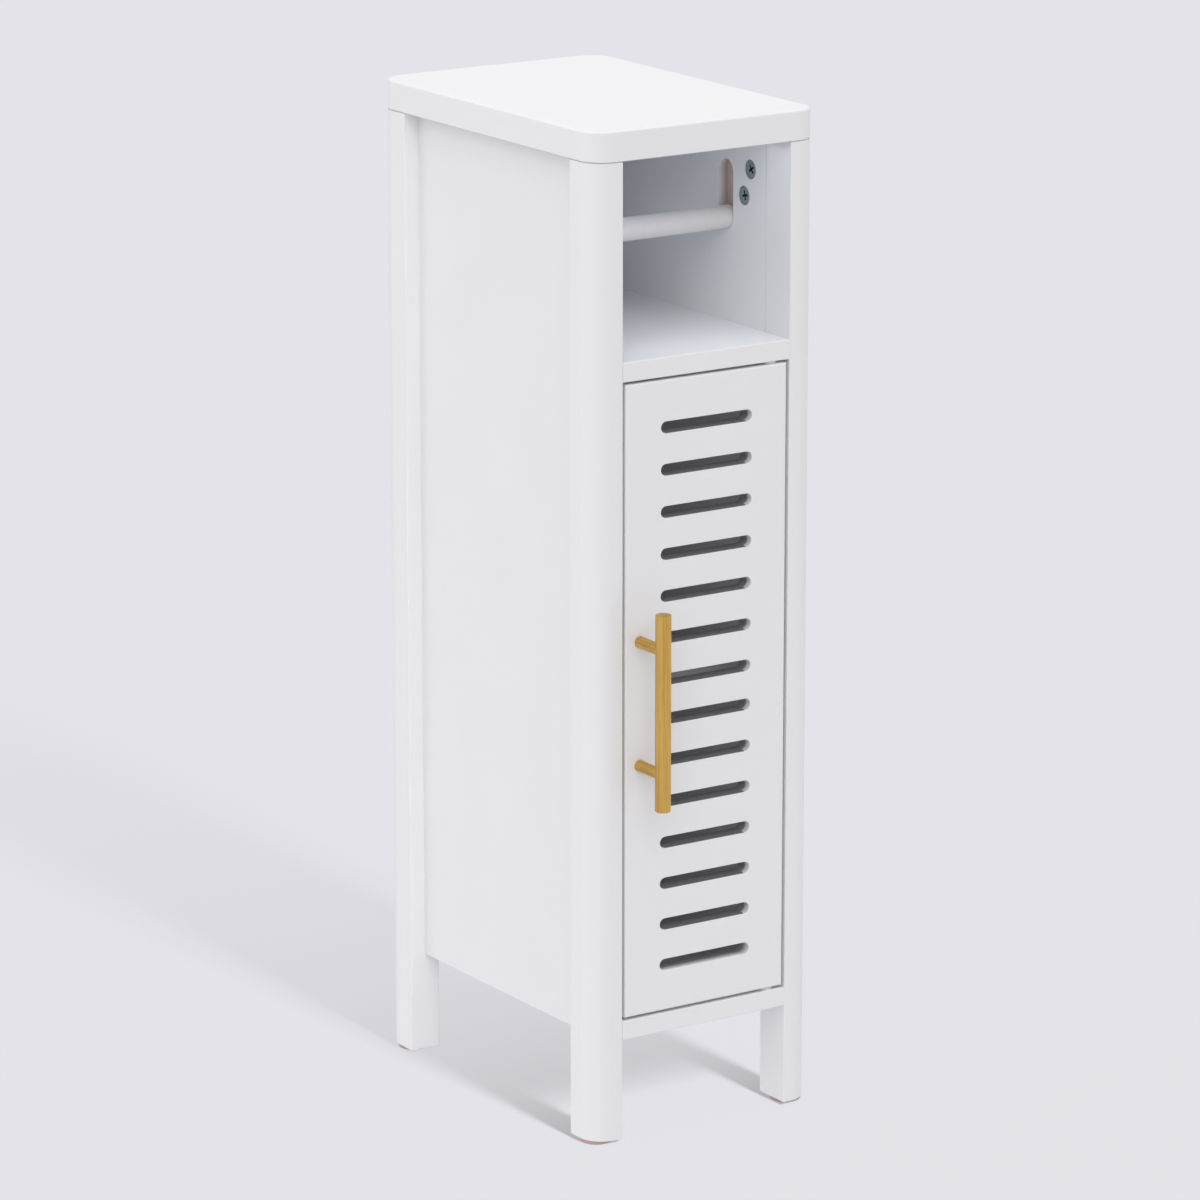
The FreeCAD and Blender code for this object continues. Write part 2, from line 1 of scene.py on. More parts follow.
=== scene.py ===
import bmesh
import bpy
import math
import numpy as np
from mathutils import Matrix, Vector


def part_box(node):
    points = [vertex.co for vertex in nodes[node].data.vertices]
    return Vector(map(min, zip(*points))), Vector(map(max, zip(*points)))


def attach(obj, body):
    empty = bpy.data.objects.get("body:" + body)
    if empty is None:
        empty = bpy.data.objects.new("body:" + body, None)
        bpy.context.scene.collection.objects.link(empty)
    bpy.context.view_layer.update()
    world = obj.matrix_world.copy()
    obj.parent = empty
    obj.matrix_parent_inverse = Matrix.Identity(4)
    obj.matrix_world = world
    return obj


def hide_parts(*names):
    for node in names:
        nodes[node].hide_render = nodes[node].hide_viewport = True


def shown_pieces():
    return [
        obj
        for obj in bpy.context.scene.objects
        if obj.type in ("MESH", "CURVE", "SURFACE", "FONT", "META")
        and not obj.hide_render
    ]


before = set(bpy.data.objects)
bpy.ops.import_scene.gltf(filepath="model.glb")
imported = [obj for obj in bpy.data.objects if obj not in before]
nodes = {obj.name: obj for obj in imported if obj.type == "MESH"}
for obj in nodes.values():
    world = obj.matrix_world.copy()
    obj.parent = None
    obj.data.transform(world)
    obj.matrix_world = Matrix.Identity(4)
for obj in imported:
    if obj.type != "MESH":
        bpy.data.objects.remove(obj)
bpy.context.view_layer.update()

mm = 0.001
print("frame loaded:", len(nodes), "nodes")


# Shared helpers
def linearColour(hexColour):
    # sRGB hex to the linear colour that shaders take
    srgb = np.array([int(hexColour[place:place + 2], 16) for place in (1, 3, 5)]) / 255
    rgb = np.where(srgb <= 0.04045, srgb / 12.92, ((srgb + 0.055) / 1.055) ** 2.4)
    return (*rgb.tolist(), 1.0)


def addNode(tree, kind, inputs=None, **settings):
    # one node: its settings, then each input as a value or as a link, which comes from
    # an output or from a node, whose first output in use is then meant
    node = tree.nodes.new(kind)
    for name, value in settings.items():
        setattr(node, name, value)
    for socket, value in (inputs or {}).items():
        if isinstance(value, bpy.types.Node):
            value = next(output for output in value.outputs if output.enabled)
        if isinstance(value, bpy.types.NodeSocket):
            tree.links.new(value, node.inputs[socket])
        else:
            node.inputs[socket].default_value = value
    return node


def newMaterial(name):
    material = bpy.data.materials.new(name)
    material.use_nodes = True
    tree = material.node_tree
    tree.nodes.clear()
    coords = addNode(tree, "ShaderNodeTexCoord").outputs["Object"]
    return material, tree, coords


def middle(node):
    low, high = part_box(node)
    return (low + high) / 2


# Places read from the frame
panelLow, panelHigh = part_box("right_side_panel")
doorLow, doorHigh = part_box("door")
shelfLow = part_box("dividing_shelf")[0]
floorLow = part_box("bottom_panel")[0]
barMiddle = middle("roll_bar")
inner = panelLow.x


# White lacquer on the boards
lacquerLook = {
    "colour": "#eeeeef",
    "thinColour": "#ebebec",      # where the coat is a touch thinner
    "cloudSize": 90 * mm,
    "peelSize": 2.2 * mm,         # orange peel of a spray gun
    "peelHeight": 0.02 * mm,
    "roughness": (0.40, 0.48),
    "refraction": 1.5,
    "slotWallRoughness": 0.85,
    "streakSize": 1.4 * mm,
    "streakDraw": 4.0,             # the streaks run upright, this many times as long as wide
    # painted shade: the grey of the shade line in the joints' grooves
    "grooveShadeColour": "#c0c0c4",
    "jointWidth": 0.32 * mm,      # half the width of the painted shade line in the groove of a joint
    "jointFade": 0.3 * mm,
    "flatShare": 0.97,            # a face that looks along the joint by more than this isn't in its groove
    "insideReach": 1.0 * mm,      # how near to the side panels' inner faces a joint counts as inside
    "insideShare": 0.6,           # how strongly it shows there
}


def grooveShadeMask(tree, coords, look):
    # painted shade: 1 in the grooves where a leg meets the top or, inside, a side panel, where shade falls;
    # flat faces there stay white
    place = addNode(tree, "ShaderNodeSeparateXYZ", {"Vector": coords}).outputs
    normal = addNode(tree, "ShaderNodeNewGeometry").outputs["Normal"]
    slope = addNode(tree, "ShaderNodeSeparateXYZ", {"Vector": normal}).outputs
    side = addNode(tree, "ShaderNodeMath", {0: place["X"]}, operation="ABSOLUTE")
    inside = addNode(tree, "ShaderNodeMath", {0: side, 1: inner, 2: look["insideReach"]}, operation="COMPARE")
    below = addNode(tree, "ShaderNodeMath", {0: place["Z"], 1: panelHigh.z}, operation="LESS_THAN")
    for share in (below, look["insideShare"]):
        inside = addNode(tree, "ShaderNodeMath", {0: inside, 1: share}, operation="MULTIPLY")
    mask = 0.0
    joints = (("Z", panelHigh.z, 1.0), ("Y", panelLow.y, inside), ("Y", panelHigh.y, inside))
    for axis, level, strength in joints:
        off = addNode(tree, "ShaderNodeMath", {0: place[axis], 1: level}, operation="SUBTRACT")
        off = addNode(tree, "ShaderNodeMath", {0: off}, operation="ABSOLUTE")
        line = addNode(tree, "ShaderNodeMapRange", {
            "Value": off, "From Min": look["jointWidth"], "From Max": look["jointWidth"] + look["jointFade"],
            "To Min": 1.0, "To Max": 0.0,
        })
        flat = addNode(tree, "ShaderNodeMath", {0: slope[axis]}, operation="ABSOLUTE")
        turned = addNode(tree, "ShaderNodeMath", {0: flat, 1: look["flatShare"]}, operation="LESS_THAN")
        for limit in (turned, strength):
            line = addNode(tree, "ShaderNodeMath", {0: line, 1: limit}, operation="MULTIPLY")
        mask = addNode(tree, "ShaderNodeMath", {0: mask, 1: line}, operation="MAXIMUM")
    return mask


def sprayedLacquer(name, look, slot=None, wallMask=None):
    # satin lacquer sprayed on fibreboard: even white, soft broad gloss, the faintest orange peel;
    # where the mask is 1 the slot walls take their inner tones: the dull fibres of the routed board in the
    # roll bar's slots, painted shade in the door's slots
    material, tree, coords = newMaterial(name)
    cloud = addNode(tree, "ShaderNodeTexNoise", {
        "Vector": coords, "Scale": 1 / look["cloudSize"], "Detail": 2.0,
    })
    peel = addNode(tree, "ShaderNodeTexNoise", {
        "Vector": coords, "Scale": 1 / look["peelSize"], "Detail": 1.0,
    })
    colour = addNode(tree, "ShaderNodeMix", {
        "Factor": cloud, "A": linearColour(look["colour"]), "B": linearColour(look["thinColour"]),
    }, data_type="RGBA")
    roughness = addNode(tree, "ShaderNodeMapRange", {
        "Value": cloud, "To Min": look["roughness"][0], "To Max": look["roughness"][1],
    })
    if slot:
        mask, deep = wallMask(tree, coords)
        stretch = (1, 1, 1 / look["streakDraw"])
        drawn = addNode(tree, "ShaderNodeMapping", {"Vector": coords, "Scale": stretch})
        streaks = addNode(tree, "ShaderNodeTexNoise", {
            "Vector": drawn, "Scale": 1 / look["streakSize"], "Detail": 4.0, "Roughness": 0.7,
        })
        # the inner tones: raw board in the roll bar's slots, painted shade in the door's slots
        slotWall = addNode(tree, "ShaderNodeMix", {
            "Factor": streaks, "A": linearColour(slot["innerTones"][0]), "B": linearColour(slot["innerTones"][1]),
        }, data_type="RGBA")
        # painted light: the door's slot walls turn paler towards the back
        if deep is not None:
            slotWall = addNode(tree, "ShaderNodeMix", {
                "Factor": deep, "A": slotWall, "B": linearColour(slot["paintedBackLight"]),
            }, data_type="RGBA")
        colour = addNode(tree, "ShaderNodeMix", {"Factor": mask, "A": colour, "B": slotWall}, data_type="RGBA")
        roughness = addNode(tree, "ShaderNodeMix", {
            "Factor": mask, "A": roughness, "B": look["slotWallRoughness"],
        }, data_type="FLOAT")
    # painted shade in the grooves of the joints
    colour = addNode(tree, "ShaderNodeMix", {
        "Factor": grooveShadeMask(tree, coords, look), "A": colour, "B": linearColour(look["grooveShadeColour"]),
    }, data_type="RGBA")
    bump = addNode(tree, "ShaderNodeBump", {"Height": peel, "Distance": look["peelHeight"]})
    shader = addNode(tree, "ShaderNodeBsdfPrincipled", {
        "Base Color": colour, "Roughness": roughness, "Normal": bump, "IOR": look["refraction"],
    })
    addNode(tree, "ShaderNodeOutputMaterial", {"Surface": shader})
    return material


# The door's slots: painted shade on their walls, from a little way in behind the front, further in at the
# round ends
slotShade = {
    "wallReach": 0.1 * mm,
    "wallFade": 0.4 * mm,
    "endStart": 36.2 * mm,        # from the door's middle
    "endFull": 37.6 * mm,
    "endReach": 4.4 * mm,
    "endFade": 2.4 * mm,
    "endCover": 0.92,             # the round ends take a little less painted shade
    "lowestSlot": 150 * mm,       # below this height lies the one slot with less painted shade, starting further in and darkening slowly
    "lowestReach": 0.7 * mm,
    "lowestFade": 9.0 * mm,
    "halfLength": 42 * mm,        # all slots lie within this of the door's middle
    "halfHeight": 225 * mm,
    "backEdge": 0.3 * mm,         # paint of the back face
    # painted shade: the dark greys of the slot walls, in place of the shade inside the slots
    "innerTones": ("#6c6c6f", "#757578"),
    "paintedBackLight": "#b0b0b3",      # painted light: the walls are painted paler towards the back, where less light reaches them
}


def slotShadeMask(tree, coords):
    # painted shade on the slot walls: 1 from a little way in behind the front, up to the back face
    look = slotShade
    thickness = doorHigh.y - doorLow.y
    place = addNode(tree, "ShaderNodeSeparateXYZ", {"Vector": coords}).outputs
    side = addNode(tree, "ShaderNodeMath", {0: place["X"]}, operation="ABSOLUTE")
    depth = addNode(tree, "ShaderNodeMath", {0: place["Y"], 1: doorLow.y}, operation="SUBTRACT")
    ends = {"Value": side, "From Min": look["endStart"], "From Max": look["endFull"]}
    reach = addNode(tree, "ShaderNodeMapRange", {
        **ends, "To Min": look["wallReach"], "To Max": look["endReach"],
    })
    full = addNode(tree, "ShaderNodeMapRange", {
        **ends, "To Min": look["wallReach"] + look["wallFade"], "To Max": look["endReach"] + look["endFade"],
    })
    slotWall = addNode(tree, "ShaderNodeMapRange", {
        "Value": depth, "From Min": reach, "From Max": full,
    }, interpolation_type="SMOOTHSTEP")
    lowest = addNode(tree, "ShaderNodeMapRange", {
        "Value": depth, "From Min": look["lowestReach"], "From Max": look["lowestReach"] + look["lowestFade"],
    }, interpolation_type="SMOOTHSTEP")
    above = addNode(tree, "ShaderNodeMath", {0: place["Z"], 1: look["lowestSlot"]}, operation="GREATER_THAN")
    slotWall = addNode(tree, "ShaderNodeMix", {"Factor": above, "A": lowest, "B": slotWall}, data_type="FLOAT")
    cover = addNode(tree, "ShaderNodeMapRange", {**ends, "To Min": 1.0, "To Max": look["endCover"]})
    back = addNode(tree, "ShaderNodeMath", {0: depth, 1: thickness - look["backEdge"]}, operation="LESS_THAN")
    length = addNode(tree, "ShaderNodeMath", {0: side, 1: look["halfLength"]}, operation="LESS_THAN")
    height = addNode(tree, "ShaderNodeMath", {
        0: place["Z"], 1: (doorLow.z + doorHigh.z) / 2, 2: look["halfHeight"],
    }, operation="COMPARE")
    for limit in (cover, back, length, height):
        slotWall = addNode(tree, "ShaderNodeMath", {0: slotWall, 1: limit}, operation="MULTIPLY")
    deep = addNode(tree, "ShaderNodeMapRange", {"Value": depth, "From Max": thickness})
    return slotWall, deep


# The blind slots of the roll bar: raw fibreboard with overspray that thins out towards the floor
barSlot = {
    "rimPaint": 0.3 * mm,
    "fade": 7.0 * mm,
    "deepest": 9 * mm,
    "halfWidth": 9.8 * mm,
    "middleUp": 17.7 * mm,        # from the resting bar to the middle of the slot
    "halfHeight": 27.3 * mm,
    "innerTones": ("#b3a395", "#dacdc1"),
}


def barSlotMask(tree, coords):
    look = barSlot
    place = addNode(tree, "ShaderNodeSeparateXYZ", {"Vector": coords}).outputs
    side = addNode(tree, "ShaderNodeMath", {0: place["X"]}, operation="ABSOLUTE")
    depth = addNode(tree, "ShaderNodeMath", {0: side, 1: inner + look["rimPaint"]}, operation="SUBTRACT")
    slotWall = addNode(tree, "ShaderNodeMapRange", {
        "Value": depth, "From Max": look["fade"],
    }, interpolation_type="SMOOTHSTEP")
    front = addNode(tree, "ShaderNodeMath", {0: depth, 1: look["deepest"]}, operation="LESS_THAN")
    width = addNode(tree, "ShaderNodeMath", {
        0: place["Y"], 1: barMiddle.y, 2: look["halfWidth"],
    }, operation="COMPARE")
    height = addNode(tree, "ShaderNodeMath", {
        0: place["Z"], 1: barMiddle.z + look["middleUp"], 2: look["halfHeight"],
    }, operation="COMPARE")
    for limit in (front, width, height):
        slotWall = addNode(tree, "ShaderNodeMath", {0: slotWall, 1: limit}, operation="MULTIPLY")
    return slotWall, None


# Brushed brass of the handle
brassLook = {
    "dark": "#c19245",
    "light": "#e9c36e",
    "lineWidth": 0.9 * mm,        # brush lines drawn coarser than real ones, so that they show
    "lineLength": 60 * mm,
    "lineHeight": 0.012 * mm,
    "contrast": (0.3, 0.7),       # the noise levels that give the dark and the light tone
    "roughness": (0.42, 0.26),    # of the dark and the light lines
}


def brushedBrass(name, look, along):
    # brass brushed along the rod: warm yellow metal with long fine lines and a soft stretched gloss
    material, tree, coords = newMaterial(name)
    scale = [1 / look["lineWidth"]] * 3
    scale[along] = 1 / look["lineLength"]
    stretched = addNode(tree, "ShaderNodeMapping", {"Vector": coords, "Scale": scale})
    lines = addNode(tree, "ShaderNodeTexNoise", {
        "Vector": stretched, "Scale": 1.0, "Detail": 4.0, "Roughness": 0.65,
    })
    contrast = addNode(tree, "ShaderNodeMapRange", {
        "Value": lines, "From Min": look["contrast"][0], "From Max": look["contrast"][1],
    })
    colour = addNode(tree, "ShaderNodeMix", {
        "Factor": contrast, "A": linearColour(look["dark"]), "B": linearColour(look["light"]),
    }, data_type="RGBA")
    roughness = addNode(tree, "ShaderNodeMapRange", {
        "Value": contrast, "To Min": look["roughness"][0], "To Max": look["roughness"][1],
    })
    bump = addNode(tree, "ShaderNodeBump", {"Height": contrast, "Distance": look["lineHeight"]})
    shader = addNode(tree, "ShaderNodeBsdfPrincipled", {
        "Base Color": colour, "Roughness": roughness, "Normal": bump, "Metallic": 1.0,
    })
    addNode(tree, "ShaderNodeOutputMaterial", {"Surface": shader})
    return material


# Small plain finishes: two tones of a noise of a real size, in colour, gloss and relief
smallLooks = {
    "diecastZinc": {       # die-cast and passivated: dull blue-grey metal, a fine cast skin, painted shade in the recesses
        "tones": ("#43545b", "#c0cccb"), "grain": 0.9 * mm, "relief": 0.04 * mm,
        "roughness": (0.42, 0.6), "metallic": 0.4,
        "recessShade": "#14191b", "recessShadeStart": 0.95 * mm, "recessShadeFull": 1.6 * mm},
    "zincPlatedSteel": {   # bright plated steel: clean cool metal, almost mirror, with faint clouds
        "tones": ("#b4b7b9", "#cfd1d2"), "grain": 1.5 * mm, "relief": 0.004 * mm,
        "roughness": (0.22, 0.34), "metallic": 1.0},
    "mouldedNylon": {      # moulded nylon: milky white, waxy
        "tones": ("#d9d7cf", "#e2e0d9"), "grain": 3 * mm, "relief": 0.01 * mm,
        "roughness": (0.4, 0.5), "metallic": 0.0},
    "mouldedStyrene": {    # moulded plastic: white, spark-eroded to a fine matt
        "tones": ("#dfdfdd", "#e6e6e4"), "grain": 0.4 * mm, "relief": 0.012 * mm,
        "roughness": (0.38, 0.48), "metallic": 0.0},
    "groundFerrite": {     # sintered and ground ferrite: charcoal black, dry
        "tones": ("#242426", "#333335"), "grain": 0.5 * mm, "relief": 0.01 * mm,
        "roughness": (0.55, 0.7), "metallic": 0.0},
    "turnedBeech": {       # beech dowel: pale pinkish wood with short flecks
        "tones": ("#c39a6f", "#d8b68d"), "grain": 1.8 * mm, "relief": 0.03 * mm,
        "roughness": (0.6, 0.75), "metallic": 0.0},
    "pressedFelt": {       # pressed wool felt: mottled brown, quite matt
        "tones": ("#a98c7d", "#d2b7a8"), "grain": 0.7 * mm, "relief": 0.15 * mm,
        "roughness": (0.9, 1.0), "metallic": 0.0},
    "paintedHardboard": {  # rolled paint on hardboard: flat white with a fine roller stipple
        "tones": ("#dadadb", "#dfdfe0"), "grain": 1.0 * mm, "relief": 0.03 * mm,
        "roughness": (0.5, 0.6), "metallic": 0.0},
    "paintedDowel": {      # lacquered round bar: white like the boards, a little greyer over the wood
        "tones": ("#dedddd", "#e6e5e5"), "grain": 4.0 * mm, "relief": 0.02 * mm,
        "roughness": (0.38, 0.48), "metallic": 0.0},
}


def mottledFinish(name, look):
    material, tree, coords = newMaterial(name)
    grain = addNode(tree, "ShaderNodeTexNoise", {"Vector": coords, "Scale": 1 / look["grain"], "Detail": 3.0})
    colour = addNode(tree, "ShaderNodeMix", {
        "Factor": grain, "A": linearColour(look["tones"][0]), "B": linearColour(look["tones"][1]),
    }, data_type="RGBA")
    if "recessShade" in look:           # painted shade in whatever lies deeper than the inner faces of the side panels
        place = addNode(tree, "ShaderNodeSeparateXYZ", {"Vector": coords}).outputs
        side = addNode(tree, "ShaderNodeMath", {0: place["X"]}, operation="ABSOLUTE")
        depth = addNode(tree, "ShaderNodeMapRange", {
            "Value": side, "From Min": inner + look["recessShadeStart"], "From Max": inner + look["recessShadeFull"],
        })
        colour = addNode(tree, "ShaderNodeMix", {
            "Factor": depth, "A": colour, "B": linearColour(look["recessShade"]),
        }, data_type="RGBA")
    roughness = addNode(tree, "ShaderNodeMapRange", {
        "Value": grain, "To Min": look["roughness"][0], "To Max": look["roughness"][1],
    })
    bump = addNode(tree, "ShaderNodeBump", {"Height": grain, "Distance": look["relief"]})
    shader = addNode(tree, "ShaderNodeBsdfPrincipled", {
        "Base Color": colour, "Roughness": roughness, "Normal": bump, "Metallic": look["metallic"],
    })
    addNode(tree, "ShaderNodeOutputMaterial", {"Surface": shader})
    return material


boardLacquer = sprayedLacquer("sprayedSatinLacquer", lacquerLook)
doorLacquer = sprayedLacquer("sprayedLacquerSlottedDoorPaintedShade", lacquerLook, slotShade, slotShadeMask)
panelLacquer = sprayedLacquer("sprayedLacquerRoutedPanel", lacquerLook, barSlot, barSlotMask)
brassUpright = brushedBrass("brushedBrassUpright", brassLook, 2)
brassAcross = brushedBrass("brushedBrassAcross", brassLook, 1)
small = {name: mottledFinish(name, look) for name, look in smallLooks.items()}
finishes = {
    "white_paint": boardLacquer,
    "white_board": small["paintedHardboard"],
    "bar_paint": small["paintedDowel"],
    "cast_zinc": small["diecastZinc"],
    "plated_steel": small["zincPlatedSteel"],
    "beech": small["turnedBeech"],
    "nylon": small["mouldedNylon"],
    "white_plastic": small["mouldedStyrene"],
    "ferrite": small["groundFerrite"],
    "brushed_brass": brassUpright,
    "glide_felt": small["pressedFelt"],
}
for node in nodes.values():
    node.material_slots[0].material = finishes[node.material_slots[0].material.name]
nodes["door"].material_slots[0].material = doorLacquer
for name in ("left_side_panel", "right_side_panel"):
    nodes[name].material_slots[0].material = panelLacquer
for name in ("handle_post_upper", "handle_post_lower"):
    nodes[name].material_slots[0].material = brassAcross
print("finishes on", len(nodes), "nodes")


# Pieces built here in place of plain CAD solids
meshing = {"mergeReach": 0.001 * mm, "sharpAngle": 32.0, "ringSteps": 72}
ringAngle = np.linspace(0, 2 * np.pi, meshing["ringSteps"], endpoint=False)


def buildPiece(name, grids, material, body, replaced):
    # one object from grids of points (rows, columns, 3); a closed grid joins its last column to its first
    points, quads, count = [], [], 0
    for grid, closed in grids:
        rows, columns = grid.shape[:2]
        index = count + np.arange(rows * columns).reshape(rows, columns)
        if closed:
            index = np.concatenate([index, index[:, :1]], axis=1)
        corners = [index[:-1, :-1], index[:-1, 1:], index[1:, 1:], index[1:, :-1]]
        quads.append(np.stack(corners, axis=-1).reshape(-1, 4))
        points.append(grid.reshape(-1, 3))
        count += rows * columns
    mesh = bpy.data.meshes.new(name)
    mesh.from_pydata(np.concatenate(points).tolist(), [], np.concatenate(quads).tolist())
    shape = bmesh.new()
    shape.from_mesh(mesh)
    bmesh.ops.remove_doubles(shape, verts=shape.verts, dist=meshing["mergeReach"])
    bmesh.ops.recalc_face_normals(shape, faces=shape.faces)
    shape.to_mesh(mesh)
    shape.free()
    mesh.shade_smooth()
    mesh.set_sharp_from_angle(angle=math.radians(meshing["sharpAngle"]))
    mesh.materials.append(material)
    piece = bpy.data.objects.new(name, mesh)
    bpy.context.scene.collection.objects.link(piece)
    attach(piece, body)
    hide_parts(*replaced)
    print("built", name, len(mesh.polygons), "faces")


def turnedGrid(profile, place, axis):
    # a lathe shape: each (along, radius) of the profile becomes a ring about the axis through the place
    along, radius = np.array(profile).T[:, :, None]
    grid = np.empty((len(profile), len(ringAngle), 3))
    grid[..., axis] = along
    grid[..., (axis + 1) % 3] = radius * np.cos(ringAngle)
    grid[..., (axis + 2) % 3] = radius * np.sin(ringAngle)
    return grid + np.array(place), True


turnedEnd = {
    "rimSteps": 6,
    "hollow": ((1.0, 0.0), (0.75, 0.5), (0.0, 0.9)),      # shares of the dish's depth and of its radius
}


def roundedEnd(radius, easing, dish):
    # half a lathe profile, from the middle of a hollowed end face, over its eased rim, to the full radius
    sweep = np.linspace(0, np.pi / 2, turnedEnd["rimSteps"])
    face = [(depth * dish, share * (radius - easing)) for depth, share in turnedEnd["hollow"]]
    rim = np.stack([easing * (1 - np.cos(sweep)), radius - easing + easing * np.sin(sweep)], axis=1)
    return np.concatenate([face, rim])


def turnedRod(node, axis, look):
    # both ends eased alike: the half profile runs in from one end and, mirrored, out to the other
    low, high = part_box(node)
    reach = (high[axis] - low[axis]) / 2
    across = (axis + 1) % 3
    end = roundedEnd((high[across] - low[across]) / 2, look["easing"], look["dish"])
    start = end * (1, 1) - (reach, 0)
    finish = (end * (-1, 1) + (reach, 0))[::-1]
    return turnedGrid(np.concatenate([start, finish]), middle(node), axis)


# Handle: a brushed bar with turned ends on two posts that are hollowed to fit round it
handle = {"easing": 0.7 * mm, "dish": 0.25 * mm, "footEasing": 0.3 * mm}
buildPiece("handleBar", [turnedRod("handle_bar", 2, handle)],
           brassUpright, "door", ["handle_bar"])
barLow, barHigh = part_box("handle_bar")
barRadius = (barHigh.x - barLow.x) / 2
for name, node in (("handlePostUpper", "handle_post_upper"), ("handlePostLower", "handle_post_lower")):
    low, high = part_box(node)
    postRadius = (high.x - low.x) / 2
    axisX, foot, axisZ = middle(node).x, high.y, middle(node).z
    # saddle(u) = bar axis + sqrt(bar radius squared - (post radius * cos u) squared)
    saddle = middle("handle_bar").y + np.sqrt(barRadius ** 2 - (postRadius * np.cos(ringAngle)) ** 2)
    rows = [(foot, 0.0), (foot, postRadius - handle["footEasing"]), (foot - handle["footEasing"], postRadius),
            (saddle, postRadius), (saddle.max(), 0.0)]
    grid = np.stack([np.stack([axisX + radius * np.cos(ringAngle), along + 0 * ringAngle,
                               axisZ + radius * np.sin(ringAngle)], axis=-1) for along, radius in rows])
    buildPiece(name, [(grid, True)], brassAcross, "door", [node])

# Roll bar: a dowel with softly rounded ends
rollBar = {"easing": 1.2 * mm, "dish": 0.0}
buildPiece("rollBar", [turnedRod("roll_bar", 0, rollBar)],
           small["paintedDowel"], "roll_bar", ["roll_bar"])

# Felt glides: discs with a soft edge that is not quite round
felt = {"edge": 0.9 * mm, "edgeSteps": 9, "wobble": 0.006, "waves": ((3, 0.4), (7, 1.9), (13, 5.1))}
for end in ("front", "rear"):
    for side in ("left", "right"):
        node = f"glide_{end}_{side}"
        low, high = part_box(node)
        radius, height = (high.x - low.x) / 2, high.z - low.z
        sweep = np.linspace(0, np.pi, felt["edgeSteps"])
        rise, drawnIn = height / 2 * (1 - np.cos(sweep)), felt["edge"] * (1 - np.sin(sweep))
        rim = np.stack([rise, radius - drawnIn], axis=1)
        grid, closed = turnedGrid(np.concatenate([[(0.0, 0.0)], rim, [(height, 0.0)]]), (0, 0, 0), 2)
        # radius(u) shrinks by a small sum of sine waves
        wave = sum(np.sin(number * ringAngle + start) for number, start in felt["waves"]) / len(felt["waves"])
        grid[..., :2] *= (1 - felt["wobble"] * (1 + wave))[:, None]
        buildPiece(f"glide{end.title()}{side.title()}", [(grid + (*middle(node)[:2], low.z), closed)],
                   small["pressedFelt"], "cabinet", [node])

# Fasteners: a head with a cross recess, and the body behind it
head = {
    "steps": 7,
    "grooveWidth": 0.05,      # as a share of the radius
    "rimShare": 0.999,        # points further out than this lie on the rim
}


def crossedFastener(look, place, face, along, spin):
    # a square grid laid on the disc keeps its lines parallel to the cross:
    # x = R u sqrt(1 - v v / 2), y = R v sqrt(1 - u u / 2), height = dome - groove - cross
    radius, span, width, taper = look["radius"], look["crossSpan"], look["crossWidth"], look["taper"]
    lines = np.array([0, width / 2 - taper, width / 2, width, span / 3, span / 2 - taper, span / 2])
    outer = np.linspace(span / 2 / radius, 1, head["steps"])
    steps = np.unique(np.concatenate([lines / radius, outer]).round(4))
    steps = np.concatenate([-steps[:0:-1], steps])
    u, v = np.meshgrid(steps, steps)
    x = radius * u * np.sqrt(1 - v ** 2 / 2)
    y = radius * v * np.sqrt(1 - u ** 2 / 2)
    outline = np.maximum(np.minimum(abs(x), abs(y)) - width / 2, np.maximum(abs(x), abs(y)) - span / 2)
    rim = np.hypot(x, y) / radius
    z = look["dome"] * (1 - rim ** 2) - look["crossDepth"] * np.clip(-outline / taper, 0, 1)
    z -= look["groove"] * np.exp(-((rim - look["grooveAt"]) / head["grooveWidth"]) ** 2) + look["dome"]
    z[rim > head["rimShare"]] = -look["dome"]
    z -= look["sunk"]
    edge = np.concatenate([np.stack([x, y], axis=-1)[part] for part in (
        (0, slice(None)), (slice(1, None), -1), (-1, slice(-2, None, -1)), (slice(-2, 0, -1), 0))])
    face, along = Vector(face), Vector(along)
    first = along * math.cos(spin) + face.cross(along) * math.sin(spin)
    axes = np.array([first, face.cross(first), face])
    rings = [(1.0, -look["dome"] - look["sunk"])]
    rings += [(size / radius, -depth) for size, depth in look["sides"]]
    sides = [np.column_stack([edge * scale, np.full(len(edge), height)]) for scale, height in rings]
    return [(np.stack([x, y, z], axis=-1) @ axes + np.array(place), False),
            (np.stack(sides) @ axes + np.array(place), True)]


# Cam locks: each was turned until it held, so no two crosses stand alike
camLook = {
    "radius": 7.4 * mm, "dome": 0.0, "groove": 0.35 * mm, "grooveAt": 0.93, "sunk": 0.9 * mm,
    "crossSpan": 7.4 * mm, "crossWidth": 1.7 * mm, "crossDepth": 2.4 * mm, "taper": 0.35 * mm,
    "sides": [(7.4 * mm, 10 * mm), (0.0, 10 * mm)],
    "topInset": 21 * mm, "reach": 29 * mm, "legInset": 50.2 * mm, "shelfInset": 60 * mm,
    "spins": (0.62, 1.21, 0.24, 0.87, 1.38, 0.41, 0.95, 0.11, 1.05, 0.7),
    "leftTurn": 0.5,      # what the ones on the left are turned further
}
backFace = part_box("back_panel")[0].y
topHeight = panelHigh.z - camLook["reach"]
panelPlaces = [(inner, y, topHeight)
               for y in (panelLow.y + camLook["topInset"], panelHigh.y - camLook["topInset"])]
panelPlaces += [(inner, y, z) for y in (panelLow.y + camLook["reach"], panelHigh.y - camLook["reach"])
                for z in (panelHigh.z - camLook["legInset"], panelLow.z + camLook["legInset"])]
boardPlaces = [(inner - camLook["reach"], y, z) for z in (shelfLow.z, floorLow.z)
               for y in (shelfLow.y + camLook["shelfInset"], backFace - camLook["shelfInset"])]
grids = []
